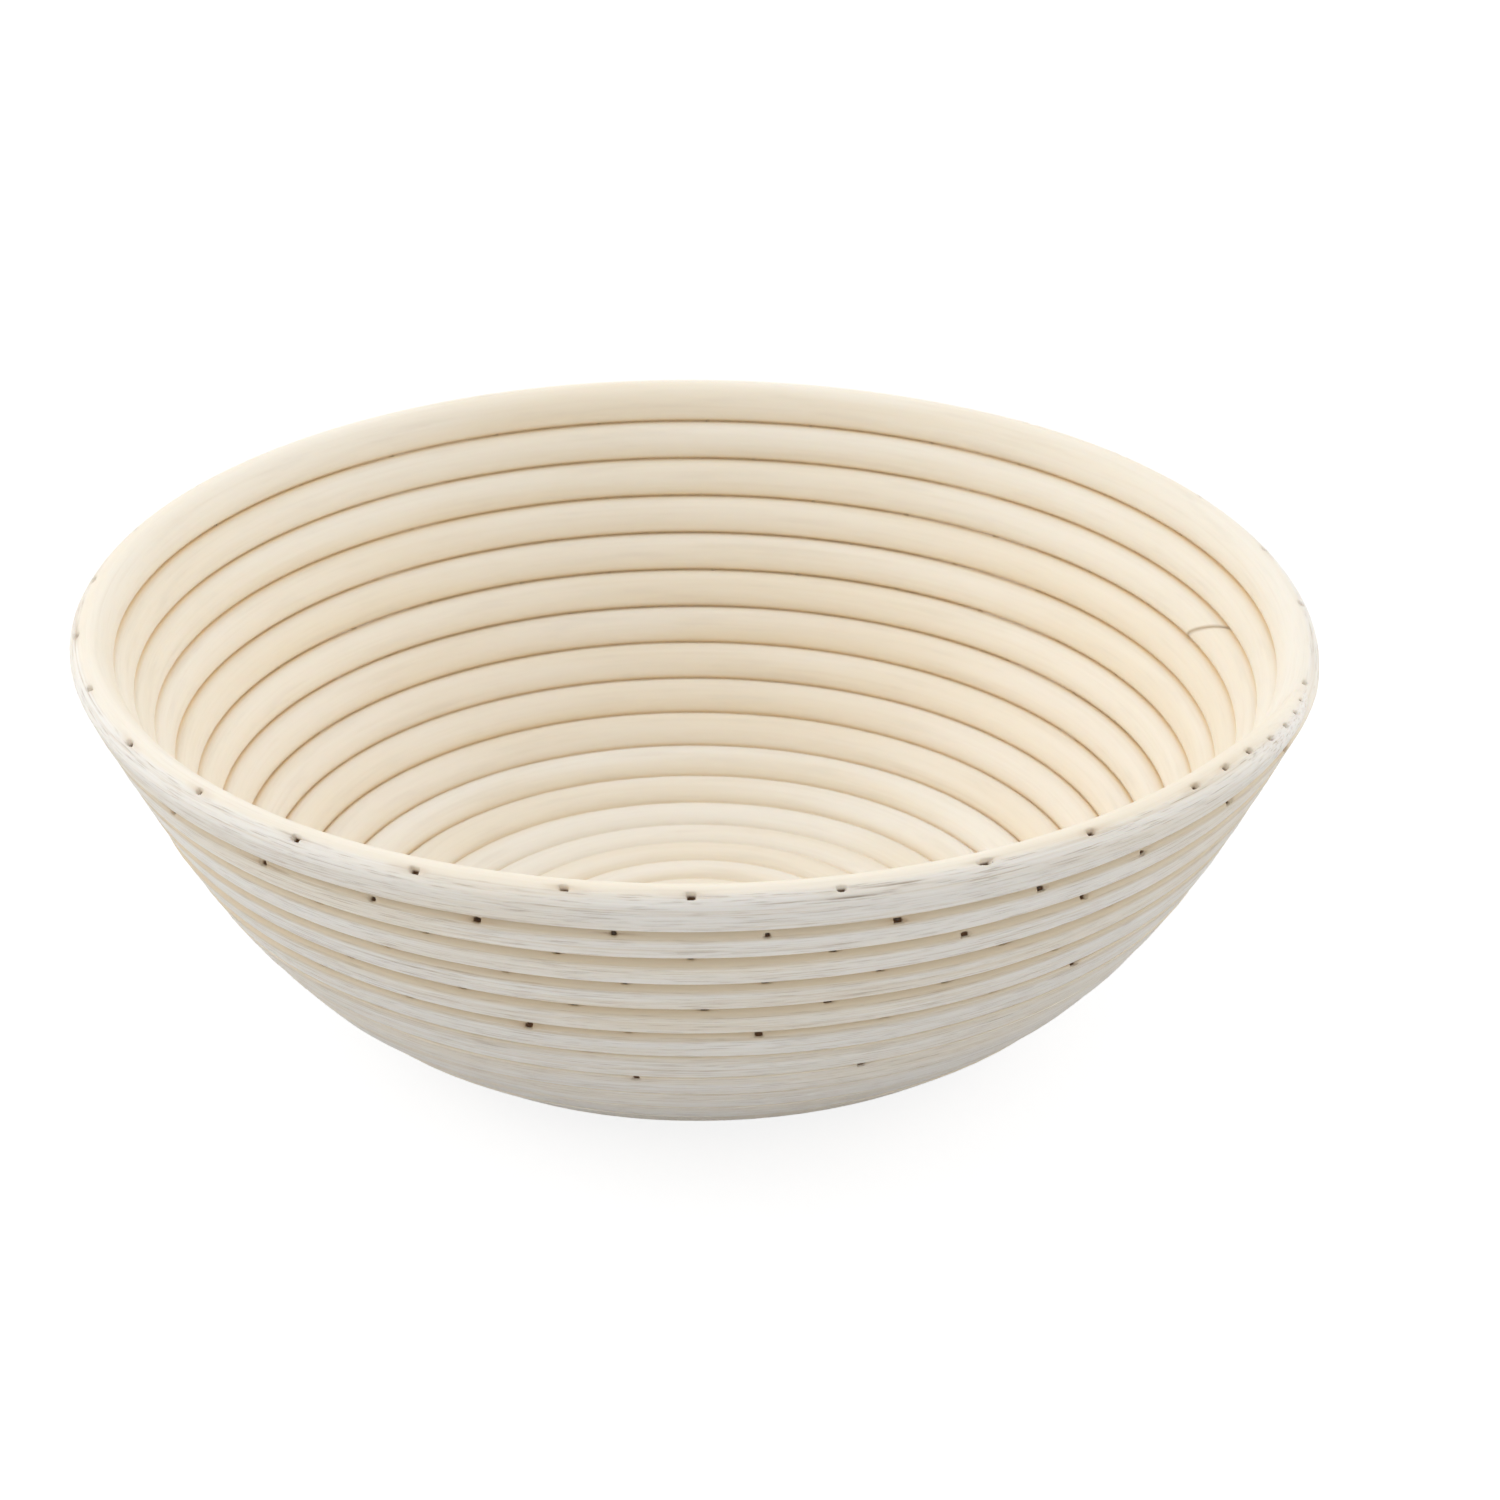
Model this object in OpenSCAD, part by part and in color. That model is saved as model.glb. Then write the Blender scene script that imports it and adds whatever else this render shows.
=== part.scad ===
// Round coiled-cane proofing basket (banneton) for bread dough.
//
// One long spiral of round rattan cane runs from the middle of the floor, out
// and up the wall to the rim. It is made up of four lengths of cane, joined end
// to end by slanting cuts (scarfs), and each turn is pinned to the turn inside it.
//
// Frame: origin at the middle of the ground underside, +Z up, +Y to the back.
// Seen from above, the spiral rises counter-clockwise. A place along the cane is
// given as an angle, counted from the inner end in the middle of the floor.

/* [Bowl] */
// Outer diameter across the rim
rim_d = 250; // [230:5:300]
// Slope of the wall at the rim, in degrees above level
rim_slope = 64; // [60:1:68]
// Turns of cane from the rim down to where the floor lies flat
wall_turns = 13.85; // [12:0.05:14.5]
// How late the wall bends into the floor (2 is early, 3 is late)
bend_power = 2.56; // [2.2:0.02:3]
// Depth ground off the outside of the cane, which leaves a flat foot
side_grind = 0.8; // [0.5:0.1:1.2]

/* [Cane] */
// Diameter of the cane
cane_d = 8.2; // [7.5:0.1:8.6]
// Gap between one turn and the next
turn_gap = 0.1; // [0.08:0.01:0.14]
// Smallest radius that the cane is bent to, at its inner end
eye_r = 6; // [5:0.5:8]
// Direction in which the outer end lies, in degrees from +X
end_angle = 345; // [330:1:350]
// Length of the taper at the outer end
end_taper = 46; // [30:1:60]
// Thickness left at the tip of the taper, as a share of the cane
tip_thickness = 0.15; // [0.1:0.01:0.3]

/* [Splices] */
// Turns from the outer end down to the first splice
first_splice = 2.9; // [2.6:0.01:3.2]
// Turns from the outer end down to the second splice
second_splice = 6.37; // [6:0.01:6.8]
// Turns from the outer end down to the third splice
third_splice = 10.37; // [10:0.01:10.8]
// Length of the slanting cut where two canes meet
scarf_l = 13; // [10:1:15]
// Gap between the two cut faces, along the cane
scarf_gap = 0.15; // [0.08:0.01:0.3]

/* [Pins] */
// Least distance from one pin to the next, where the turns are small
pin_step = 28; // [24:1:40]
// Furthest that a pin of the rim stands from its place, along the cane
pin_scatter = 2.5; // [0:0.5:3]
// Diameter of the pins
pin_d = 1.2; // [1:0.1:1.6]
// Length of the pins
pin_l = 11.5; // [10:0.5:12]
// Depth of a pin's head below the surface of the cane
pin_sink = 0.9; // [0.5:0.1:1.5]
// Clearance all round a pin in its hole
pin_clear = 0.04; // [0.02:0.01:0.1]
// Where a pin goes in, in degrees from the top of the cane towards the outside
pin_mouth = 24; // [18:1:34]
// Lean of a pin, in degrees from straight down the wall towards the inside
pin_lean = 11; // [6:1:14]

/* [Hidden] */

$fn = 16;
cane_r = cane_d / 2;
pitch = cane_d + turn_gap;
end_part = end_angle / 360;
// How far a cutting shape stands past the surface that it cuts
overcut = 1;

// ---- The wall's curve, measured in turns below the outer end ----

// Slope of the wall, which eases from the rim's slope down to a level floor
function slope(t) = rim_slope * (1 - pow(min(max(t, 0), wall_turns) / wall_turns, bend_power));

// Distances inwards and downwards from the outer end, added up along the curve
curve_step = 0.05;
curve_turns = 25;
function step_slope(i) = slope((i + 0.5) * curve_step);
function step_inward(i) = pitch * curve_step * cos(step_slope(i));
function step_downward(i) = pitch * curve_step * sin(step_slope(i));
inward_sums = [
    for (i = 0, d = 0; i * curve_step < curve_turns; d = d + step_inward(i), i = i + 1)
        [i * curve_step, d]
];
downward_sums = [
    for (i = 0, d = 0; i * curve_step < curve_turns; d = d + step_downward(i), i = i + 1)
        [i * curve_step, d]
];
function inward(t) = lookup(t, inward_sums);
function downward(t) = lookup(t, downward_sums);

// Radius of the cane's centre line at the outer end. The spiral is wider to the
// left than to the right, and the rim's diameter is measured across both.
rim_r = (rim_d - cane_d) / 2 + (inward(end_part) + inward(end_part - 0.5)) / 2;
// Height of the centre line above the foot, on the floor and at the outer end
floor_z = cane_r - side_grind;
rim_z = floor_z + downward(wall_turns);

// Turns from the inner end to the outer end, as many as the floor has room for
floor_room = (rim_r - inward(wall_turns) - eye_r) / pitch;
turns = floor(wall_turns + floor_room - end_part) + end_part;
outer_end = 360 * turns;

function turns_below(angle) = turns - angle / 360;
function cane_slope(angle) = slope(turns_below(angle));
function radius(angle) = rim_r - inward(turns_below(angle));
function height(angle) = rim_z - downward(turns_below(angle));

// ---- The cane ----
// The cane is made of short straight parts, which start in the same directions in
// every turn, so that the flat faces of one turn lie along those of the next.

turn_parts = 30;
part_angle = 360 / turn_parts;

// The cane's outline: X up the wall and Y towards the outside, where it is ground flat
flat_edge = asin((cane_r - side_grind) / cane_r);
outline_angles = [0, flat_edge / 2, flat_edge, 180 - flat_edge, 180 - flat_edge / 2, 180, 225, 270, 315];
outline = [for (around = outline_angles) cane_r * [cos(around), sin(around)]];
cane_sides = len(outline);

// A point of the outline, at the start of a part. The foot is ground level.
function part_point(part, p) =
    let (
        angle = part * part_angle,
        lean = cane_slope(angle),
        r = radius(angle) + p.x * cos(lean) + p.y * sin(lean)
    )
    [r * cos(angle), r * sin(angle), max(0, height(angle) + p.x * sin(lean) - p.y * cos(lean))];

// A point of the outline at any angle, on the straight line through its part
function skin_point(angle, p) =
    let (part = floor(angle / part_angle), along = angle / part_angle - part)
        (1 - along) * part_point(part, p) + along * part_point(part + 1, p);

// Angle that a length of cane covers
function angle_over(length, angle) = length / radius(angle) * 180 / PI;

// Rings of points round the cane at the starts of parts
function part_rings(first, last) = [for (part = [first : last]) [for (p = outline) part_point(part, p)]];

// A cane through a list of rings of points
module cane_through(rings) {
    points = [for (ring = rings) each ring];
    sides = [
        for (ring = [0 : len(rings) - 2])
            for (i = [0 : cane_sides - 1])
                let (a = ring * cane_sides + i, b = ring * cane_sides + (i + 1) % cane_sides)
                    each [[a, a + cane_sides, b + cane_sides], [a, b + cane_sides, b]]
    ];
    start_face = [for (i = [0 : cane_sides - 1]) i];
    end_face = [for (i = [1 : cane_sides]) len(points) - i];
    polyhedron(points, concat(sides, [start_face, end_face]));
}

// Puts children on the cane's centre line: +X up the wall, +Y along the cane
// towards its outer end, and +Z towards the inside of the bowl
module on_cane(angle) {
    translate(skin_point(angle, [0, 0]))
        rotate([0, 0, angle])
            rotate([0, -cane_slope(angle), 0])
                children();
}

// ---- Cut ends ----

// A splice is half way along a part, so that its cut stays inside that part
function middle_of_part(angle) = (floor(angle / part_angle) + 0.5) * part_angle;
splices = [for (t = [first_splice, second_splice, third_splice]) middle_of_part(outer_end - 360 * t)];

// The cut end of a cane at a splice, where side is 1 for the cane that runs on to the
// outer end, and -1 for the other. The cut runs on a slant, from the top of the cane,
// nearer its inner end, to the bottom, nearer its outer end.
function cut_ring(splice, side) = [
    for (p = outline)
        skin_point(splice + angle_over(side * scarf_gap / 2 - scarf_l * p.x / cane_d, splice), p)
];

// The outer end thins from the top, and stays down on the turn below
taper_start = outer_end - angle_over(end_taper, outer_end);
function thickness(angle) =
    1 - (1 - tip_thickness) * max(0, angle - taper_start) / (outer_end - taper_start);
function taper_ring(angle) =
    let (thick = thickness(angle))
        [for (p = outline) skin_point(angle, [(p.x + cane_r) * thick - cane_r, p.y * sqrt(thick)])];
taper_angles = concat(
    [for (part = [ceil(taper_start / part_angle) : ceil(outer_end / part_angle) - 1]) part * part_angle],
    [outer_end]
);

// A cane that is spliced at both ends
module middle_cane(from, to) {
    cane_through(concat(
        [cut_ring(from, 1)],
        part_rings(ceil(from / part_angle), floor(to / part_angle)),
        [cut_ring(to, -1)]
    ));
}

// ---- Pins: their places ----
// Pins have set places round a turn, and the turns above and below use the places
// half way between, so that no pin meets another. Small turns leave places out. The
// first turn has nothing inside it to be pinned to, and a splice has its own pins.

first_pin = 450;
scatter_seed = 7;
scatter = rands(-pin_scatter, pin_scatter, turn_parts * ceil(turns), scatter_seed);

// Pins of small turns are close to those of the next turn, so they scatter less
function scatter_share(angle) = pow(radius(angle) / rim_r, 2);

function place_angle(turn, i) = 360 * turn + part_angle * (i + (turn % 2) / 2);
function parts_per_pin(turn) = max(1, round(turn_parts * pin_step / (2 * PI * radius(360 * turn + 180))));

// The turns above and below a splice leave out the pins next to its own
function is_clear_of_splices(angle) =
    min([for (s = splices) for (turn = [-1 : 1]) abs(angle - s - 360 * turn)]) > part_angle * 0.6;
function pins_between(from, to) = [
    for (turn = [floor(from / 360) : floor(to / 360)])
        for (i = [0 : parts_per_pin(turn) : turn_parts - 1])
            let (angle = place_angle(turn, i))
                if (angle > from && angle < to && is_clear_of_splices(angle))
                    angle + angle_over(scatter[turn * turn_parts + i] * scatter_share(angle), angle)
];

rim_pins = pins_between(splices[0], taper_start);
upper_pins = pins_between(splices[1], splices[0]);
lower_pins = pins_between(splices[2], splices[1]);
base_pins = pins_between(first_pin, splices[2]);

// The taper at the outer end holds a close row of pins, three to a part
end_step = part_angle / 3;
first_end_pin = middle_of_part(taper_start) + end_step;
end_pins = [for (angle = [first_end_pin : end_step : outer_end - end_step / 2]) angle];

// One pin through each half of a splice
scarf_pins = [for (s = splices) for (way = [-1, 1]) s + way * angle_over(scarf_l / 4, s)];

all_pins = concat(rim_pins, upper_pins, lower_pins, base_pins, end_pins, scarf_pins);

// ---- Pins: their shape ----

// A round shape down the line of a pin, between two depths below the pin's mouth
module along_pin(radius, top, bottom) {
    translate([cane_r * cos(pin_mouth), 0, -cane_r * sin(pin_mouth)])
        rotate([0, pin_lean - 90, 0])
            translate([0, 0, top])
                cylinder(r = radius, h = bottom - top);
}

module pins_at(angles) {
    color([0.42, 0.38, 0.33])
        for (angle = angles)
            on_cane(angle)
                along_pin(pin_d / 2, pin_sink, pin_sink + pin_l);
}

// Removes the holes of the pins in a cane, and of those in the turn outside it
module drilled(from, to) {
    difference() {
        children();
        for (angle = all_pins)
            if (angle > from - part_angle && angle < to + 360 + part_angle)
                on_cane(angle)
                    along_pin(pin_d / 2 + pin_clear, -overcut, pin_sink + pin_l + pin_clear);
    }
}

// ---- Parts ----

module rim_cane() {
    color([0.93, 0.87, 0.76])
        drilled(splices[0], outer_end)
            cane_through(concat(
                [cut_ring(splices[0], 1)],
                part_rings(ceil(splices[0] / part_angle), ceil(taper_start / part_angle) - 1),
                [for (angle = taper_angles) taper_ring(angle)]
            ));
}

module upper_wall_cane() {
    color([0.91, 0.84, 0.72])
        drilled(splices[1], splices[0])
            middle_cane(splices[1], splices[0]);
}

module lower_wall_cane() {
    color([0.89, 0.82, 0.69])
        drilled(splices[2], splices[1])
            middle_cane(splices[2], splices[1]);
}

// The floor and the lowest turns of the wall
module floor_cane() {
    color([0.87, 0.79, 0.66])
        drilled(0, splices[2])
            cane_through(concat(part_rings(0, floor(splices[2] / part_angle)), [cut_ring(splices[2], -1)]));
}

module rim_cane_pins() {
    pins_at(rim_pins);
}

module upper_wall_pins() {
    pins_at(upper_pins);
}

module lower_wall_pins() {
    pins_at(lower_pins);
}

module floor_pins() {
    pins_at(base_pins);
}

// Pins in the taper have their heads lower, because the cane is thinner there
module rim_end_pins() {
    color([0.42, 0.38, 0.33])
        for (angle = end_pins)
            on_cane(angle)
                along_pin(pin_d / 2, pin_sink + cane_d * (1 - thickness(angle)), pin_sink + pin_l);
}

module splice_pins() {
    pins_at(scarf_pins);
}

rim_cane();
upper_wall_cane();
lower_wall_cane();
floor_cane();
rim_cane_pins();
upper_wall_pins();
lower_wall_pins();
floor_pins();
rim_end_pins();
splice_pins();
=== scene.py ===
"""Looks of a round coiled-cane proofing basket (banneton).

One spiral of rattan cane runs from the middle of the floor up to the rim, in four
lengths that are spliced on a slant. Each length is a swept mesh that stands for its
CAD node: round on the inside, sanded flat outside, with torn pin holes, splits and
fibres. The pins are the CAD's own. Lengths are in millimetres until a mesh is made,
and the lamps and the camera are placed in metres.
"""
import math

import bpy
import numpy as np
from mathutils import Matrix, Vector


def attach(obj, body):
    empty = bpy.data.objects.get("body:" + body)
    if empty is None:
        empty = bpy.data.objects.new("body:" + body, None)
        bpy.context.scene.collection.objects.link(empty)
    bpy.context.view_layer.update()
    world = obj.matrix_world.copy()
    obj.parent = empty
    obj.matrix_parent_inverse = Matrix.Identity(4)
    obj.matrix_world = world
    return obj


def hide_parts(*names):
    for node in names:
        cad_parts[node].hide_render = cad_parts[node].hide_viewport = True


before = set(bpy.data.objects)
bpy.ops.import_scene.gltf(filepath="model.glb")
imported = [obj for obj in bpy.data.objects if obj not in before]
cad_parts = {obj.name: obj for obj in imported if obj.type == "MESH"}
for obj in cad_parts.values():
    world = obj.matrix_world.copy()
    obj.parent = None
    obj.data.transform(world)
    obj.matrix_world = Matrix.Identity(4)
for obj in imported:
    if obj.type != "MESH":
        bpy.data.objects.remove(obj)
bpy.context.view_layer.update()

MM = 0.001
TURN = 2 * math.pi

# ---- The spiral, as the CAD has it ----

RIM_D = 250
RIM_SLOPE = math.radians(64)
WALL_TURNS = 13.85
BEND_POWER = 2.56
SIDE_GRIND = 0.8
CANE_D = 8.2
CANE_R = CANE_D / 2
TURN_GAP = 0.1
PITCH = CANE_D + TURN_GAP
EYE_R = 6
END_PART = 345 / 360
END_TAPER = 46
TIP_THICKNESS = 0.15
SPLICE_TURNS = (2.9, 6.37, 10.37)
CAD_PART = TURN / 30
SCARF_L = 13
SCARF_GAP = 0.15

# The curve of the wall is summed in short steps, further than the spiral can reach
CURVE_TURNS = 25
CURVE_STEP = 0.01
curve_t = np.arange(0, CURVE_TURNS, CURVE_STEP)


def slope_at(t):
    """Slope of the wall, t turns below the outer end."""
    return RIM_SLOPE * (1 - (np.clip(t, 0, WALL_TURNS) / WALL_TURNS) ** BEND_POWER)


inward_sum = PITCH * CURVE_STEP * np.cumsum(np.cos(slope_at(curve_t)))
downward_sum = PITCH * CURVE_STEP * np.cumsum(np.sin(slope_at(curve_t)))


def inward(t):
    return np.interp(t, curve_t, inward_sum)


def downward(t):
    return np.interp(t, curve_t, downward_sum)


RIM_R = (RIM_D - CANE_D) / 2 + (inward(END_PART) + inward(END_PART - 0.5)) / 2
RIM_Z = CANE_R - SIDE_GRIND + downward(WALL_TURNS)
FLOOR_ROOM = (RIM_R - inward(WALL_TURNS) - EYE_R) / PITCH
TURNS = math.floor(WALL_TURNS + FLOOR_ROOM - END_PART) + END_PART
OUTER_END = TURN * TURNS
TAPER_START = OUTER_END - END_TAPER / RIM_R


def splice_angle(turns_down):
    """A splice lies half way along one of the CAD cane's straight parts."""
    return (math.floor((OUTER_END - TURN * turns_down) / CAD_PART) + 0.5) * CAD_PART


SPLICES = [splice_angle(t) for t in SPLICE_TURNS]


def turns_below(angle):
    return TURNS - angle / TURN


def radius_at(angle):
    return RIM_R - inward(turns_below(angle))


def height_at(angle):
    return RIM_Z - downward(turns_below(angle))


# Length along the cane for each angle, from just before its inner end
TABLE_MARGIN = 0.5
TABLE_ROWS = 20000
table_angles = np.linspace(-TABLE_MARGIN, OUTER_END + TABLE_MARGIN, TABLE_ROWS)
table_lengths = np.cumsum(radius_at(table_angles)) * (table_angles[1] - table_angles[0])


def length_at(angle):
    return np.interp(angle, table_angles, table_lengths)


# ---- Smooth noise, the same on every run ----

LINE_KNOTS = 4096
PLANE_KNOTS = 512
# Keeps the places that noise is read at above zero
NOISE_START = 1000


def ease(s):
    """Goes from 0 to 1 with s, and starts and stops gently."""
    return s * s * (3 - 2 * s)


def smoothstep(low, high, x):
    return ease(np.clip((x - low) / (high - low), 0, 1))


def noise_1d(x, scale, seed):
    """Smooth noise between -1 and 1 along a line, with bumps about scale apart."""
    rng = np.random.default_rng(seed)
    knots = rng.uniform(-1, 1, LINE_KNOTS)
    u = np.asarray(x) / scale + NOISE_START
    i = np.floor(u).astype(int)
    f = ease(u - i)
    return knots[i % LINE_KNOTS] * (1 - f) + knots[(i + 1) % LINE_KNOTS] * f


def noise_2d(x, y, scale_x, scale_y, seed):
    """Smooth noise between -1 and 1 over a plane."""
    rng = np.random.default_rng(seed)
    knots = rng.uniform(-1, 1, (PLANE_KNOTS, PLANE_KNOTS))
    u, v = x / scale_x + NOISE_START, y / scale_y + NOISE_START
    i, j = np.floor(u).astype(int), np.floor(v).astype(int)
    f, g = ease(u - i), ease(v - j)
    i0, i1, j0, j1 = i % PLANE_KNOTS, (i + 1) % PLANE_KNOTS, j % PLANE_KNOTS, (j + 1) % PLANE_KNOTS
    low = knots[i0, j0] * (1 - f) + knots[i1, j0] * f
    high = knots[i0, j1] * (1 - f) + knots[i1, j1] * f
    return low * (1 - g) + high * g


# Noises along the cane: how far apart their bumps are, and their seeds
WAVES = {
    "thickness": (70, 1),
    "lumps": (17, 2),
    "squareness": (40, 3),
    "tilt": (55, 4),
    "grinding": (30, 5),
    "wander": (85, 6),
}


def wave(name, length):
    return noise_1d(length, *WAVES[name])


# Noises that give each pin its own value: their seeds
PIN_SEEDS = {
    "hole length": 21,
    "hole width": 22,
    "stain": 24,
    "mouth": 31,
    "seen": 32,
}


def pin_value(name, number):
    """A value between -1 and 1 for a pin, from its number or from its place."""
    return noise_1d(number, 1, PIN_SEEDS[name])


# ---- Pins, read from the frame ----

PIN_GROUPS = (
    "rim_cane_pins",
    "upper_wall_pins",
    "lower_wall_pins",
    "floor_pins",
    "rim_end_pins",
    "splice_pins",
)
# A pin's middle lies this share of the cane's radius below the cane's middle
PIN_MIDDLE = 0.66
# Points of a mesh that agree to this many decimals of a millimetre are one point
SAME_POINT_DECIMALS = 3


def loose_parts(mesh):
    """The vertex positions of each separate solid of a mesh, in millimetres."""
    co = np.array([v.co for v in mesh.vertices]) / MM
    keys = np.unique(np.round(co, SAME_POINT_DECIMALS), axis=0, return_inverse=True)[1].ravel()
    group = np.arange(keys.max() + 1)

    def root(i):
        while group[i] != i:
            group[i] = group[group[i]]
            i = group[i]
        return i

    for edge in mesh.edges:
        a, b = root(keys[edge.vertices[0]]), root(keys[edge.vertices[1]])
        group[a] = b
    roots = np.array([root(k) for k in keys])
    return [co[roots == r] for r in np.unique(roots)]


def pin_angles(node):
    """Where each of a node's pins stands along the spiral."""
    angles = []
    for points in loose_parts(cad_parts[node].data):
        middle = points.mean(0)
        direction = math.atan2(middle[1], middle[0]) % TURN
        candidates = direction + TURN * np.arange(0, math.ceil(TURNS) + 1)
        below = turns_below(candidates)
        up = np.stack([np.cos(slope_at(below)), np.sin(slope_at(below))], 1)
        centres = np.stack([radius_at(candidates), height_at(candidates)], 1)
        reach = np.array([np.hypot(middle[0], middle[1]), middle[2]])
        off = np.linalg.norm(centres - PIN_MIDDLE * CANE_R * up - reach, axis=1)
        off[candidates > OUTER_END] = np.inf
        angles.append(candidates[off.argmin()])
    return angles


PINS = np.sort(np.concatenate([pin_angles(node) for node in PIN_GROUPS]))

# ---- The canes ----

# Section angles round the cane, from the top of the cane (0) through the outside
# (a quarter turn) and back past the inside. They are closest on the outside.
OUTSIDE_FROM, OUTSIDE_TO = math.radians(-14), math.radians(166)
OUTSIDE_POINTS = 53
INSIDE_POINTS = 21
section = np.concatenate([
    np.linspace(OUTSIDE_FROM, OUTSIDE_TO, OUTSIDE_POINTS, endpoint=False),
    np.linspace(OUTSIDE_TO, OUTSIDE_FROM + TURN, INSIDE_POINTS, endpoint=False),
])

# Rings of points along a cane: even steps, and close ones at each pin
STATION_STEP = 5.0
STATION_TURN = math.radians(5)
PIN_STATIONS = (-2.0, -0.98, -0.64, -0.3, 0.3, 0.64, 0.98, 2.0)
LEAST_STATION_GAP = 0.12

# The skin is a little larger than the CAD's cane and varies along it
SKIN_SIZE = 1.012
THICKNESS_CHANGE = 0.010
LUMPS = 0.005
TILT = math.radians(2.0)

# Powers of the section's rounded square: 2 is a circle
INSIDE_POWER = 2.4
ROUND_POWER = 2.1
SQUARE_POWER = 7.0
SQUARE_POWER_CHANGE = 1.5
# Sines of the section angle between which the inside turns into the outside
IN_TO_OUT = (-0.02, 0.30)

# The upper turns keep their round shoulders, most of all at the front left, and the
# lower turns are ground flush. The side that faces away keeps the given share.
STEP_DIRECTION = math.radians(225)
STEP_AWAY = 0.4
ROUNDNESS_OF_STEP = 1.3

# The wall is ground a little deeper than the floor's foot
WALL_GRIND = 0.35
GRIND_CHANGE = 0.12
# Keeps the ground flat far away from the side of the cane that faces inwards
LEAST_ACROSS = 0.05
# The edge between round and ground is softer on the rim
EDGE_SOFT = 0.15
RIM_EDGE_SOFT = 0.5
# How much is cut away, from where the cane looks ground to where it does fully, and
# the same for the rim, as sines of the section angle
LOOKS_GROUND = (-0.15, 0.25)
RIM_LOOKS_GROUND = (-0.1, 0.25)

# Half the distance between the faces of two turns that are pressed together
TOUCH = 0.015
# The cane is thickest in the rim, by this share of its upper half
RIM_CROWN = 0.22
TAPER_POWER = 1.5
WANDER = 0.07

# Turns below the outer end, from and to, where each change takes place
RIM_TO_WALL = (0.97, 1.03)
OPEN_TO_COVERED = (1.0, 1.03)
CROWN_TO_PLAIN = (0.80, 1.0)
STEPPED_TO_FLUSH = (3.5, 8.5)
WALL_TO_FLOOR = (9, 13)


def station_angles(first, last):
    """Angles at which a cane gets a ring of points."""
    spots = []
    angle = first
    while angle < last:
        spots.append(angle)
        angle += min(STATION_TURN, STATION_STEP / radius_at(angle))
    for pin in PINS[(PINS > first) & (PINS < last)]:
        spots += [pin + offset / radius_at(pin) for offset in PIN_STATIONS]
    spots = np.sort(np.array(spots))
    spots = spots[(spots >= first) & (spots < last)]
    keep = np.concatenate([[True], np.diff(spots) * radius_at(spots[1:]) > LEAST_STATION_GAP])
    return np.concatenate([spots[keep], [last]])


def stepping(angles):
    """How far the turns are from being ground flush, from 0 to 1."""
    facing = 0.5 + 0.5 * np.cos(angles - STEP_DIRECTION)
    lower = smoothstep(*STEPPED_TO_FLUSH, turns_below(angles))
    return (STEP_AWAY + (1 - STEP_AWAY) * facing) * (1 - lower)


def roundness(step):
    """How much of its round shoulders a turn keeps, from 0 to 1."""
    return np.minimum(ROUNDNESS_OF_STEP * step, 1)


def outline(angles):
    """Distance of the surface from the cane's middle, at each station and section angle."""
    on_rim = 1 - smoothstep(*RIM_TO_WALL, turns_below(angles))[:, None]
    on_wall = 1 - smoothstep(*WALL_TO_FLOOR, turns_below(angles))[:, None]
    step = stepping(angles)[:, None]
    length = length_at(angles)[:, None]
    a = section[None, :]
    cos, sin = np.cos(a), np.sin(a)
    uneven = THICKNESS_CHANGE * wave("thickness", length)
    size = CANE_R * (SKIN_SIZE + uneven + LUMPS * wave("lumps", length))

    # a stepped turn keeps its round shoulders, and a flush one is square all over
    square = SQUARE_POWER + SQUARE_POWER_CHANGE * wave("squareness", length)
    rounded = np.maximum(roundness(step), on_rim)
    outside = square + (ROUND_POWER - square) * rounded
    power = INSIDE_POWER + (outside - INSIDE_POWER) * smoothstep(*IN_TO_OUT, sin)
    full = size / (np.abs(cos) ** power + np.abs(sin) ** power) ** (1 / power)

    # the outside is ground flat, with a soft edge
    tilt = TILT * wave("tilt", length)
    depth = SIDE_GRIND + GRIND_CHANGE * wave("grinding", length) + WALL_GRIND * on_wall * (1 - on_rim)
    across = np.maximum(sin + cos * np.tan(tilt), LEAST_ACROSS)
    flat = (CANE_R - depth) / across
    soft = EDGE_SOFT + RIM_EDGE_SOFT * on_rim
    blend = np.clip(0.5 + 0.5 * (full - flat) / soft, 0, 1)
    distance = full * (1 - blend) + flat * blend - soft * blend * (1 - blend)

    ground = smoothstep(*LOOKS_GROUND, full - flat) * (sin > 0)
    ground = np.maximum(ground, on_rim * smoothstep(*RIM_LOOKS_GROUND, sin))
    return distance, ground


# Two sizes of fibre: length and width of its bumps, seed and strength
FIBRES = ((38, 0.55, 11, 1.0), (90, 1.3, 12, 0.6))
FIBRE_RELIEF = 0.010
GROUND_FIBRE_RELIEF = 0.045


def fibres(angles, ground):
    """Relief of the fibres, which run along the cane and show most where it is sanded."""
    length = length_at(angles)[:, None]
    round_it = section[None, :] * CANE_R
    ridges = sum(
        strength * noise_2d(length, round_it, long, wide, seed) for long, wide, seed, strength in FIBRES
    )
    return ridges * (FIBRE_RELIEF + GROUND_FIBRE_RELIEF * ground)


# Where torn pin holes open, in degrees round the section, and their scatter either
# way: on top of the rim, in the groove below a turn, and hidden under the next turn
RIM_MOUTH = (4, 7)
GROOVE_MOUTH = (38, 6)
HIDDEN_MOUTH = (20, 0)
# Below the second turn, a hole shows when its noise is above this
SEEN_ABOVE = 0.6
# Turns an angle along the spiral into a place in the noise of the mouths
MOUTH_NOISE = 50


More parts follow.
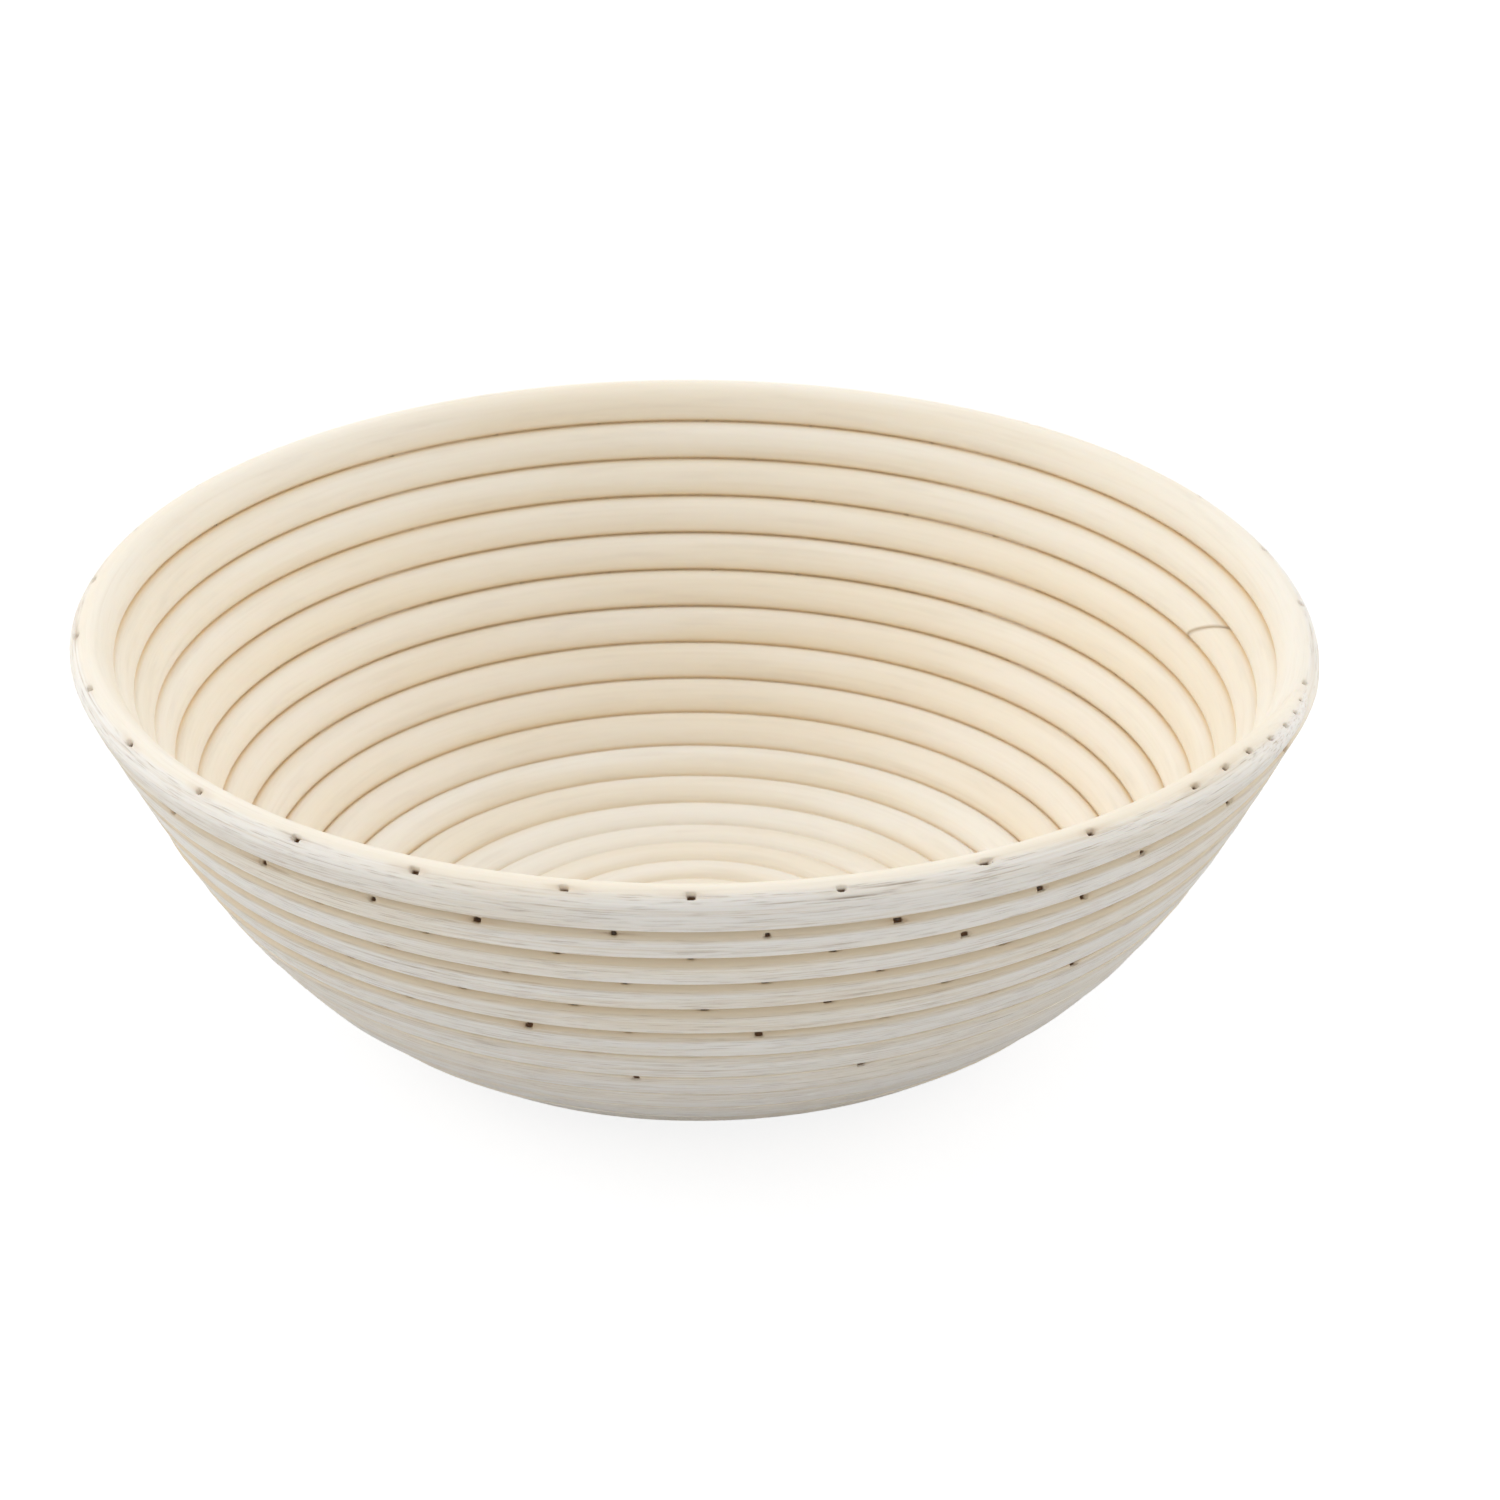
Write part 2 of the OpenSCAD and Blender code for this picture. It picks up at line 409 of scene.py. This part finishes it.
def mouth_angle(pin):
    """Section angle of a torn pin hole."""
    place = pin * MOUTH_NOISE
    below = turns_below(pin)
    if below < 1:
        middle, scatter = RIM_MOUTH
    elif below < 2 or pin_value("seen", place) > SEEN_ABOVE:
        middle, scatter = GROOVE_MOUTH
    else:
        middle, scatter = HIDDEN_MOUTH
    return math.radians(middle + scatter * pin_value("mouth", place))


# A torn pin hole is a pit with a rounded square mouth, ragged at its edge. It and its
# stain reach this far along the cane, and each one reads its own stretch of noise.
PIT_REACH = 9
PIT_HALF_L, PIT_HALF_L_CHANGE = 0.85, 0.2
PIT_HALF_W, PIT_HALF_W_CHANGE = 0.62, 0.1
PIT_POWER = 4
PIT_DEPTH = 1.15
PIT_FLOOR, PIT_BRIM = 0.72, 1.1
RAG = 0.12
RAG_NOISE = (0.5, 0.4, 23)
# The brown stain round it, longest along the fibres
STAIN_L, STAIN_W = 2.6, 0.85
STAIN_STRENGTH, STAIN_CHANGE = 0.55, 0.45


def pits(angles):
    """Depth of the torn pin holes, and how stained the cane is round them."""
    shape = (len(angles), len(section))
    depth, stain = np.zeros(shape), np.zeros(shape)
    for number, pin in enumerate(PINS):
        near = np.flatnonzero(np.abs(angles - pin) * radius_at(pin) < PIT_REACH)
        if not len(near):
            continue
        along = ((angles[near] - pin) * radius_at(pin))[:, None]
        across = (section[None, :] - mouth_angle(pin)) * CANE_R
        across = (across + math.pi * CANE_R) % (TURN * CANE_R) - math.pi * CANE_R
        half_l = PIT_HALF_L + PIT_HALF_L_CHANGE * pin_value("hole length", number)
        half_w = PIT_HALF_W + PIT_HALF_W_CHANGE * pin_value("hole width", number)
        edge = (np.abs(along) / half_l) ** PIT_POWER + (np.abs(across) / half_w) ** PIT_POWER
        edge = edge ** (1 / PIT_POWER) + RAG * noise_2d(along + PIT_REACH * number, across, *RAG_NOISE)
        depth[near] = np.maximum(depth[near], PIT_DEPTH * (1 - smoothstep(PIT_FLOOR, PIT_BRIM, edge)))
        halo = np.exp(-((along / STAIN_L) ** 2) - (across / STAIN_W) ** 2)
        strength = STAIN_STRENGTH + STAIN_CHANGE * pin_value("stain", number)
        stain[near] = np.maximum(stain[near], strength * halo)
    return depth, stain


# Fine splits: every other one runs from a pin
SPLITS_PER_CANE = 60
SPLIT_HALF_WIDTH = 0.12
SPLIT_DEPTH = (0.08, 0.28)
PIN_SPLIT_HALF_L = (2.5, 9)
PIN_SPLIT_SCATTER = 0.05
LONE_SPLIT_HALF_L = (2, 11)
LONE_SPLIT_DEGREES = (50, 130)
SPLIT_WANDER = 0.10
SPLIT_WANDER_L = 6
# Each cane draws its splits from a seed of its own, made from the angle it starts at
SEED_PER_RADIAN = 10
# Cracks that a nail opened in the rim: direction, section angle, half length and depth
NAIL_CRACKS = (
    (math.radians(283), math.radians(34), 6.5, 0.32),
    (math.radians(286.5), math.radians(16), 5.0, 0.26),
    (math.radians(288.5), math.radians(26), 4.0, 0.22),
)


def random_split(rng, number, length, pins):
    """A split's place along the cane, section angle, half length and depth."""
    if number % 2:
        pin = rng.choice(pins)
        middle, place = length_at(pin), mouth_angle(pin) + rng.normal(0, PIN_SPLIT_SCATTER)
        half = rng.uniform(*PIN_SPLIT_HALF_L)
    else:
        middle = rng.uniform(length[0], length[-1])
        place = math.radians(rng.uniform(*LONE_SPLIT_DEGREES))
        half = rng.uniform(*LONE_SPLIT_HALF_L)
    return middle, place, half, rng.uniform(*SPLIT_DEPTH)


def splits(angles, seed):
    """Depth of the fine splits, which run along the fibres of the sanded side."""
    rng = np.random.default_rng(seed)
    length = length_at(angles)
    depth = np.zeros((len(angles), len(section)))
    pins = PINS[(PINS > angles[0]) & (PINS < angles[-1])]
    lines = [random_split(rng, number, length, pins) for number in range(SPLITS_PER_CANE)]
    if angles[-1] > OUTER_END - TURN:
        rim_start = OUTER_END - TURN * END_PART
        lines += [(length_at(rim_start + way), *rest) for way, *rest in NAIL_CRACKS]
    for number, (middle, place, half, deep) in enumerate(lines):
        near = np.flatnonzero(np.abs(length - middle) < half)
        if not len(near):
            continue
        along = (length[near] - middle)[:, None] / half
        wander = SPLIT_WANDER * noise_1d(length[near], SPLIT_WANDER_L, seed + number)[:, None]
        across = (section[None, :] - place) * CANE_R + wander
        cut = np.exp(-((across / SPLIT_HALF_WIDTH) ** 2)) * (1 - along ** 2)
        depth[near] = np.maximum(depth[near], deep * cut)
    return depth


# A splice's slant dies away over this many times its length
SKEW_REACH = 2.4
# Darker seam at a splice: how far from the cut it ends, and how near it is at its full
SEAM_END, SEAM_FULL = 0.9, 0.1


def splice_effects(angles, first, last):
    """How much of a splice's slant each ring takes, and how close it is to the seam."""
    slant, seam = np.zeros(len(angles)), np.zeros(len(angles))
    for splice, side in ((first, 1), (last, -1)):
        if splice not in SPLICES:
            continue
        away = (angles - splice) * side * radius_at(splice)
        slant += np.clip(1 - away / (SKEW_REACH * SCARF_L), 0, 1) ** 2
        seam = np.maximum(seam, smoothstep(SEAM_END, SEAM_FULL, away))
    return slant, seam


def thinned(angles, x, y):
    """The section of the outer end, which thins down on to the turn below."""
    along_taper = np.clip((angles - TAPER_START) / (OUTER_END - TAPER_START), 0, 1)
    thick = 1 - (1 - TIP_THICKNESS) * along_taper ** TAPER_POWER
    return (x + CANE_R) * thick[:, None] - CANE_R, y * np.sqrt(thick)[:, None]


# The values that the material reads: how far from the cane's middle the groove (painted
# shade in the inside joints) and the shoulder (unsanded tan with painted shade under the
# turn above) start and are full, as shares of its radius, the share of the shoulder's
# tint that a flush turn keeps, and the depths at which a hole and a split are full
GROOVE_FROM_TO = (0.86, 1.0)
SHOULDER_FROM_TO = (0.30, 0.68)
LEAST_SHOULDER = 0.1
FULL_HOLE = 1.1
FULL_SPLIT = 0.3


def cane_points(angles, first, last):
    """The points of a cane's skin, in millimetres, with the values that its material reads."""
    distance, ground = outline(angles)
    depth, stain = pits(angles)
    split = splits(angles, seed=int(first * SEED_PER_RADIAN))
    distance = distance + fibres(angles, ground) - depth - split

    # x runs up the wall and y towards the outside; pressed turns are flat where they meet
    x = distance * np.cos(section)[None, :]
    y = distance * np.sin(section)[None, :]
    covered = smoothstep(*OPEN_TO_COVERED, turns_below(angles))[:, None]
    touch = PITCH / 2 - TOUCH
    x = np.clip(x, -touch, touch + (1 - covered))
    crown = 1 - smoothstep(*CROWN_TO_PLAIN, turns_below(angles))[:, None]
    x = x + RIM_CROWN * crown * x * smoothstep(0, CANE_R, x)
    x, y = thinned(angles, x, y)

    slant, seam = splice_effects(angles, first, last)
    spot = angles[:, None] - slant[:, None] * SCARF_L * x / CANE_D / radius_at(angles)[:, None]
    lean = slope_at(turns_below(spot))
    length = length_at(angles)[:, None]
    wandered = y + WANDER * wave("wander", length)
    reach = radius_at(spot) + x * np.cos(lean) + wandered * np.sin(lean)
    z = height_at(spot) + x * np.sin(lean) - wandered * np.cos(lean)
    points = np.stack([reach * np.cos(spot), reach * np.sin(spot), np.maximum(z, 0)], -1)

    joint_shade = smoothstep(*GROOVE_FROM_TO, np.abs(x) / CANE_R)
    shoulder_tan_and_shade = smoothstep(*SHOULDER_FROM_TO, x / CANE_R)
    kept = np.maximum(roundness(stepping(angles))[:, None], LEAST_SHOULDER)
    values = {
        "ground": ground,
        "stain": np.clip(stain, 0, 1),
        "hole": np.clip(depth / FULL_HOLE, 0, 1),
        "split": np.clip(split / FULL_SPLIT, 0, 1),
        "seam": seam[:, None] * np.ones_like(x),
        # painted shade: a warm, darker tint in the inside joints between pressed turns
        "groove": np.where(x > 0, covered, 1.0) * (y < 0) * joint_shade,
        # the cane's own unsanded tan, with painted shade where the turn above overhangs it
        "shoulder": covered * (y > 0) * shoulder_tan_and_shade * kept,
    }
    fibre = np.stack([length * np.ones_like(x), x, y], -1)
    return points, values, fibre


def cane_mesh(name, first, last):
    """A length of cane between two angles of the spiral, closed at both ends."""
    gap = SCARF_GAP / 2
    start = first + (gap / radius_at(first) if first in SPLICES else 0)
    stop = last - (gap / radius_at(last) if last in SPLICES else 0)
    angles = station_angles(start, stop)
    points, values, fibre = cane_points(angles, first, last)
    rings, sides = points.shape[:2]
    ring, side = np.meshgrid(np.arange(rings - 1), np.arange(sides), indexing="ij")
    a = ring * sides + side
    b = ring * sides + (side + 1) % sides
    quads = np.stack([a, b, b + sides, a + sides], -1).reshape(-1, 4)

    caps = np.array([points[0].mean(0), points[-1].mean(0)])
    vertices = np.concatenate([points.reshape(-1, 3), caps]) * MM
    first_cap, last_cap = rings * sides, rings * sides + 1
    around = np.arange(sides)
    after = (around + 1) % sides
    start_fan = np.stack([np.full(sides, first_cap), after, around], -1)
    end_ring = (rings - 1) * sides
    end_fan = np.stack([np.full(sides, last_cap), end_ring + around, end_ring + after], -1)

    mesh = bpy.data.meshes.new(name)
    mesh.from_pydata(vertices.tolist(), [], quads.tolist() + start_fan.tolist() + end_fan.tolist())
    mesh.polygons.foreach_set("use_smooth", np.ones(len(mesh.polygons), bool))
    for key, value in values.items():
        ends = [value[0].mean(), value[-1].mean()]
        attribute = mesh.attributes.new(key, "FLOAT", "POINT")
        attribute.data.foreach_set("value", np.concatenate([value.ravel(), ends]).astype(np.float32))
    coordinates = np.concatenate([fibre.reshape(-1, 3), fibre[[0, -1]].mean(1)])
    attribute = mesh.attributes.new("fibre", "FLOAT_VECTOR", "POINT")
    attribute.data.foreach_set("vector", coordinates.astype(np.float32).ravel())
    mesh.update()
    return mesh


# ---- Materials ----


class Nodes:
    """Short ways to build a material's node tree."""

    def __init__(self, name):
        self.material = bpy.data.materials.new(name)
        self.material.use_nodes = True
        self.tree = self.material.node_tree
        self.shader = self.tree.nodes["Principled BSDF"]

    def set(self, socket, value):
        if isinstance(value, bpy.types.NodeSocket):
            self.tree.links.new(value, socket)
        else:
            socket.default_value = value

    def shade(self, name, value):
        self.set(self.shader.inputs[name], value)

    def attribute(self, name, output="Fac"):
        node = self.tree.nodes.new("ShaderNodeAttribute")
        node.attribute_name = name
        return node.outputs[output]

    def math(self, operation, a, b):
        node = self.tree.nodes.new("ShaderNodeMath")
        node.operation = operation
        self.set(node.inputs[0], a)
        self.set(node.inputs[1], b)
        return node.outputs[0]

    def noise(self, vector, stretch, detail, roughness=0.55):
        """Noise over a vector's place, with its bumps closer together where stretch is larger."""
        scaled = self.tree.nodes.new("ShaderNodeVectorMath")
        scaled.operation = "MULTIPLY"
        self.set(scaled.inputs[0], vector)
        scaled.inputs[1].default_value = stretch
        node = self.tree.nodes.new("ShaderNodeTexNoise")
        self.set(node.inputs["Vector"], scaled.outputs[0])
        node.inputs["Scale"].default_value = 1.0
        node.inputs["Detail"].default_value = detail
        node.inputs["Roughness"].default_value = roughness
        return node.outputs["Fac"]

    def ramp(self, value, low, high, to_low=0.0, to_high=1.0):
        node = self.tree.nodes.new("ShaderNodeMapRange")
        node.interpolation_type = "SMOOTHSTEP"
        for socket, x in zip(node.inputs, (value, low, high, to_low, to_high)):
            self.set(socket, x)
        return node.outputs[0]

    def mix(self, share, a, b):
        node = self.tree.nodes.new("ShaderNodeMix")
        node.data_type = "RGBA"
        self.set(node.inputs["Factor"], share)
        self.set(node.inputs["A"], a)
        self.set(node.inputs["B"], b)
        return node.outputs["Result"]

    def bump(self, height, distance, strength):
        node = self.tree.nodes.new("ShaderNodeBump")
        self.set(node.inputs["Height"], height)
        node.inputs["Distance"].default_value = distance
        node.inputs["Strength"].default_value = strength
        return node.outputs["Normal"]


GAMMA = 2.2


def linear(red, green, blue):
    """A colour given as 0 to 255 sRGB, as the shader's linear values."""
    return tuple((c / 255) ** GAMMA for c in (red, green, blue)) + (1.0,)


# Noises in the cane: stretch along, up and across the cane, detail and roughness
GRAINS = {
    "streaks": ((0.018, 1.2, 1.2), 3.0, 0.6),
    "strands": ((0.02, 2.8, 2.8), 2.5, 0.6),
    "dashes": ((0.13, 4.6, 4.6), 1.5, 0.5),
    "clouds": ((0.010, 0.10, 0.10), 2.0, 0.55),
    "blotches": ((0.04, 0.45, 0.45), 4.0, 0.55),
}
# Tints laid over the cane's colour in turn: the noise or the mesh's value that places
# each, the levels it starts and is full at (None takes the value as it is), its share
# where the cane is round and where it is ground, and its colour
TINTS = (
    ("clouds", (0.40, 0.68), (0.45, 0.45), (240, 226, 200)),
    ("blotches", (0.52, 0.74), (0.20, 0.20), (214, 205, 192)),
    # shoulder: the unsanded cane's tan, with painted shade under the turn above
    ("shoulder", None, (0.80, 0.80), (216, 199, 171)),
    ("streaks", (0.50, 0.70), (0.10, 0.28), (216, 198, 170)),
    ("strands", (0.54, 0.68), (0.06, 0.27), (206, 186, 160)),
    ("dashes", (0.60, 0.70), (0.04, 0.36), (168, 138, 106)),
    ("strands", (0.46, 0.32), (0.05, 0.40), (252, 249, 243)),
    # groove: painted shade, a warm, darker tint in the inside joints between turns
    ("groove", None, (0.60, 0.60), (255, 224, 174)),
    ("stain", None, (0.45, 0.45), (192, 158, 116)),
    ("split", None, (0.65, 0.65), (150, 120, 88)),
    ("seam", None, (0.60, 0.60), (178, 144, 104)),
    ("hole", (0.45, 1.0), (1.0, 1.0), (100, 70, 44)),
)
# Fine relief: the dashes are cut into the strands, most where the cane is ground
DASH_EDGE = (0.58, 0.72)
DASH_DEPTH = 0.7
RELIEF_SHARES = (0.20, 1.0)
RELIEF_HEIGHT = 0.11
RELIEF_STRENGTH = 0.9
# Roughness where the cane is round and where it is ground
ROUGHNESS = (0.52, 0.78)
SHINE = 0.32
SUBSURFACE = 0.12
SUBSURFACE_RADIUS = (1.4 * MM, 0.9 * MM, 0.5 * MM)


def cane_material(name, inside, outside):
    """Raw rattan: warm and smooth inside, paler, greyer and more fibrous where it is sanded,
    with painted shade in the inside joints and on the shoulders under each turn.
    """
    m = Nodes(name)
    ground = m.attribute("ground")
    fibre = m.attribute("fibre", "Vector")
    grain = {key: m.noise(fibre, *settings) for key, settings in GRAINS.items()}

    colour = m.mix(ground, inside, outside)
    for source, levels, shares, tinted in TINTS:
        mask = grain[source] if source in grain else m.attribute(source)
        if levels:
            mask = m.ramp(mask, *levels)
        share = m.math("MULTIPLY", mask, m.ramp(ground, 0, 1, *shares))
        colour = m.mix(share, colour, linear(*tinted))

    dashes = m.math("MULTIPLY", m.ramp(grain["dashes"], *DASH_EDGE), DASH_DEPTH)
    relief = m.math("SUBTRACT", grain["strands"], dashes)
    relief = m.math("MULTIPLY", relief, m.ramp(ground, 0, 1, *RELIEF_SHARES))
    m.shade("Base Color", colour)
    m.shade("Normal", m.bump(relief, RELIEF_HEIGHT * MM, RELIEF_STRENGTH))
    m.shade("Roughness", m.ramp(ground, 0, 1, *ROUGHNESS))
    m.shade("Specular IOR Level", SHINE)
    m.shade("Subsurface Weight", SUBSURFACE)
    m.shade("Subsurface Radius", SUBSURFACE_RADIUS)
    m.shade("Subsurface Scale", 1.0)
    return m.material


STEEL = (0.16, 0.14, 0.125, 1)
RUST = (0.075, 0.045, 0.028, 1)
TARNISH_STRETCH = (900, 900, 900)
TARNISH_DETAIL = 4.0
TARNISH_EDGE = (0.4, 0.65)
TARNISH_RELIEF = 0.05
TARNISH_STRENGTH = 0.6


def pin_material():
    """Dull steel with brown tarnish."""
    m = Nodes("pins")
    place = m.tree.nodes.new("ShaderNodeTexCoord").outputs["Object"]
    tarnish = m.noise(place, TARNISH_STRETCH, TARNISH_DETAIL)
    m.shade("Base Color", m.mix(m.ramp(tarnish, *TARNISH_EDGE), STEEL, RUST))
    m.shade("Metallic", m.ramp(tarnish, *TARNISH_EDGE, 0.9, 0.35))
    m.shade("Roughness", m.ramp(tarnish, 0.35, 0.7, 0.42, 0.7))
    m.shade("Normal", m.bump(tarnish, TARNISH_RELIEF * MM, TARNISH_STRENGTH))
    return m.material


# Each cane: the angles it runs between, and its colours inside and where it is ground
CANES = {
    "rim_cane": (SPLICES[0], OUTER_END, linear(245, 237, 222), linear(242, 238, 231)),
    "upper_wall_cane": (SPLICES[1], SPLICES[0], linear(245, 236, 220), linear(240, 236, 229)),
    "lower_wall_cane": (SPLICES[2], SPLICES[1], linear(244, 235, 220), linear(240, 236, 230)),
    "floor_cane": (0.0, SPLICES[2], linear(247, 241, 230), linear(239, 235, 229)),
}


def build_canes():
    for node, (first, last, inside, outside) in CANES.items():
        mesh = cane_mesh(node + "_skin", first, last)
        piece = bpy.data.objects.new(node + "_skin", mesh)
        bpy.context.scene.collection.objects.link(piece)
        mesh.materials.append(cane_material(node, inside, outside))
        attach(piece, "root")
        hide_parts(node)


def dress_pins():
    material = pin_material()
    for node in PIN_GROUPS:
        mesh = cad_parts[node].data
        mesh.materials.clear()
        mesh.materials.append(material)


# ---- Floor, light and camera ----

FLOOR_HALF = 6.0
# The camera sees a floor that glows nearly white, and everything else sees a grey one
FLOOR_GREY = (0.75, 0.75, 0.75, 1)
FLOOR_SEEN = (0.22, 0.22, 0.22, 1)
FLOOR_GLOW = 0.85
FLOOR_ROUGHNESS = 0.9


def build_floor():
    """A pale floor that runs out of sight."""
    half = FLOOR_HALF
    mesh = bpy.data.meshes.new("floor")
    corners = [(-half, -half, 0), (half, -half, 0), (half, half, 0), (-half, half, 0)]
    mesh.from_pydata(corners, [], [(0, 1, 2, 3)])
    floor = bpy.data.objects.new("floor", mesh)
    bpy.context.scene.collection.objects.link(floor)
    m = Nodes("floor")
    seen = m.tree.nodes.new("ShaderNodeLightPath").outputs["Is Camera Ray"]
    m.shade("Base Color", m.mix(seen, FLOOR_GREY, FLOOR_SEEN))
    m.shade("Roughness", FLOOR_ROUGHNESS)
    m.shade("Emission Color", (1, 1, 1, 1))
    m.shade("Emission Strength", m.math("MULTIPLY", seen, FLOOR_GLOW))
    mesh.materials.append(m.material)


# Each lamp: its place, its size and its power in watts
LAMPS = {
    "left": ((-1.5, 0.1, 1.0), 0.9, 8),
    "right": ((1.4, 0.4, 0.8), 0.9, 5),
    "above": ((-0.3, 0.6, 1.5), 1.0, 2),
}
LAMPS_POINT_AT = (0, 0, 0.04)
# How bright the studio is in front of the bowl and behind it, and between which
# directions it changes, as the Y part of the direction
WORLD_FRONT, WORLD_BACK = 0.68, 0.87
FRONT_ENDS, BACK_STARTS = -0.9, 0.4


def look_along(direction):
    return Vector(direction).to_track_quat("-Z", "Y").to_euler()


def add_lamp(name, place, size, power):
    """A soft square lamp that points at the bowl."""
    lamp = bpy.data.lights.new(name, "AREA")
    lamp.size = size
    lamp.energy = power
    light = bpy.data.objects.new(name, lamp)
    bpy.context.scene.collection.objects.link(light)
    light.location = place
    light.rotation_euler = look_along(np.array(LAMPS_POINT_AT) - np.array(place))


def build_light():
    """A white studio, dimmer in front, with large soft lamps above, left and right."""
    world = bpy.data.worlds.new("studio")
    world.use_nodes = True
    tree = world.node_tree
    direction = tree.nodes.new("ShaderNodeTexCoord").outputs["Generated"]
    split = tree.nodes.new("ShaderNodeSeparateXYZ")
    tree.links.new(direction, split.inputs[0])
    level = tree.nodes.new("ShaderNodeMapRange")
    tree.links.new(split.outputs["Y"], level.inputs["Value"])
    level.inputs["From Min"].default_value = FRONT_ENDS
    level.inputs["From Max"].default_value = BACK_STARTS
    level.inputs["To Min"].default_value = WORLD_FRONT
    level.inputs["To Max"].default_value = WORLD_BACK
    background = tree.nodes["Background"]
    background.inputs["Color"].default_value = (1, 1, 1, 1)
    tree.links.new(level.outputs[0], background.inputs["Strength"])
    bpy.context.scene.world = world
    for name, (place, size, power) in LAMPS.items():
        add_lamp(name, place, size, power)


# The camera looks down at the middle of the rim, and stands a little right and low
CAMERA_ELEVATION = math.radians(26.67)
CAMERA_DISTANCE = 1.024
CAMERA_RIGHT = 0.0099
CAMERA_UP = -0.0279
CLIP_START = 0.05
SENSOR = 36.0
LENS = 122.26
F_STOP = 36
# The front rim is the sharpest
FOCUS = (0, -0.09, 0.05)


def build_camera():
    """Looks at the bowl from the front and above, as the photograph does."""
    data = bpy.data.cameras.new("camera")
    data.sensor_width = SENSOR
    data.lens = LENS
    data.clip_start = CLIP_START
    camera = bpy.data.objects.new("camera", data)
    bpy.context.scene.collection.objects.link(camera)
    forward = np.array([0, math.cos(CAMERA_ELEVATION), -math.sin(CAMERA_ELEVATION)])
    up = np.array([0, math.sin(CAMERA_ELEVATION), math.cos(CAMERA_ELEVATION)])
    rim = np.array([0, 0, RIM_Z * MM])
    camera.location = rim - forward * CAMERA_DISTANCE + np.array([CAMERA_RIGHT, 0, 0]) + up * CAMERA_UP
    camera.rotation_euler = look_along(forward)
    focus = bpy.data.objects.new("focus", None)
    bpy.context.scene.collection.objects.link(focus)
    focus.location = FOCUS
    data.dof.use_dof = True
    data.dof.focus_object = focus
    data.dof.aperture_fstop = F_STOP
    bpy.context.scene.camera = camera


build_canes()
dress_pins()
build_floor()
build_light()
build_camera()
bpy.context.scene.view_settings.view_transform = "Standard"
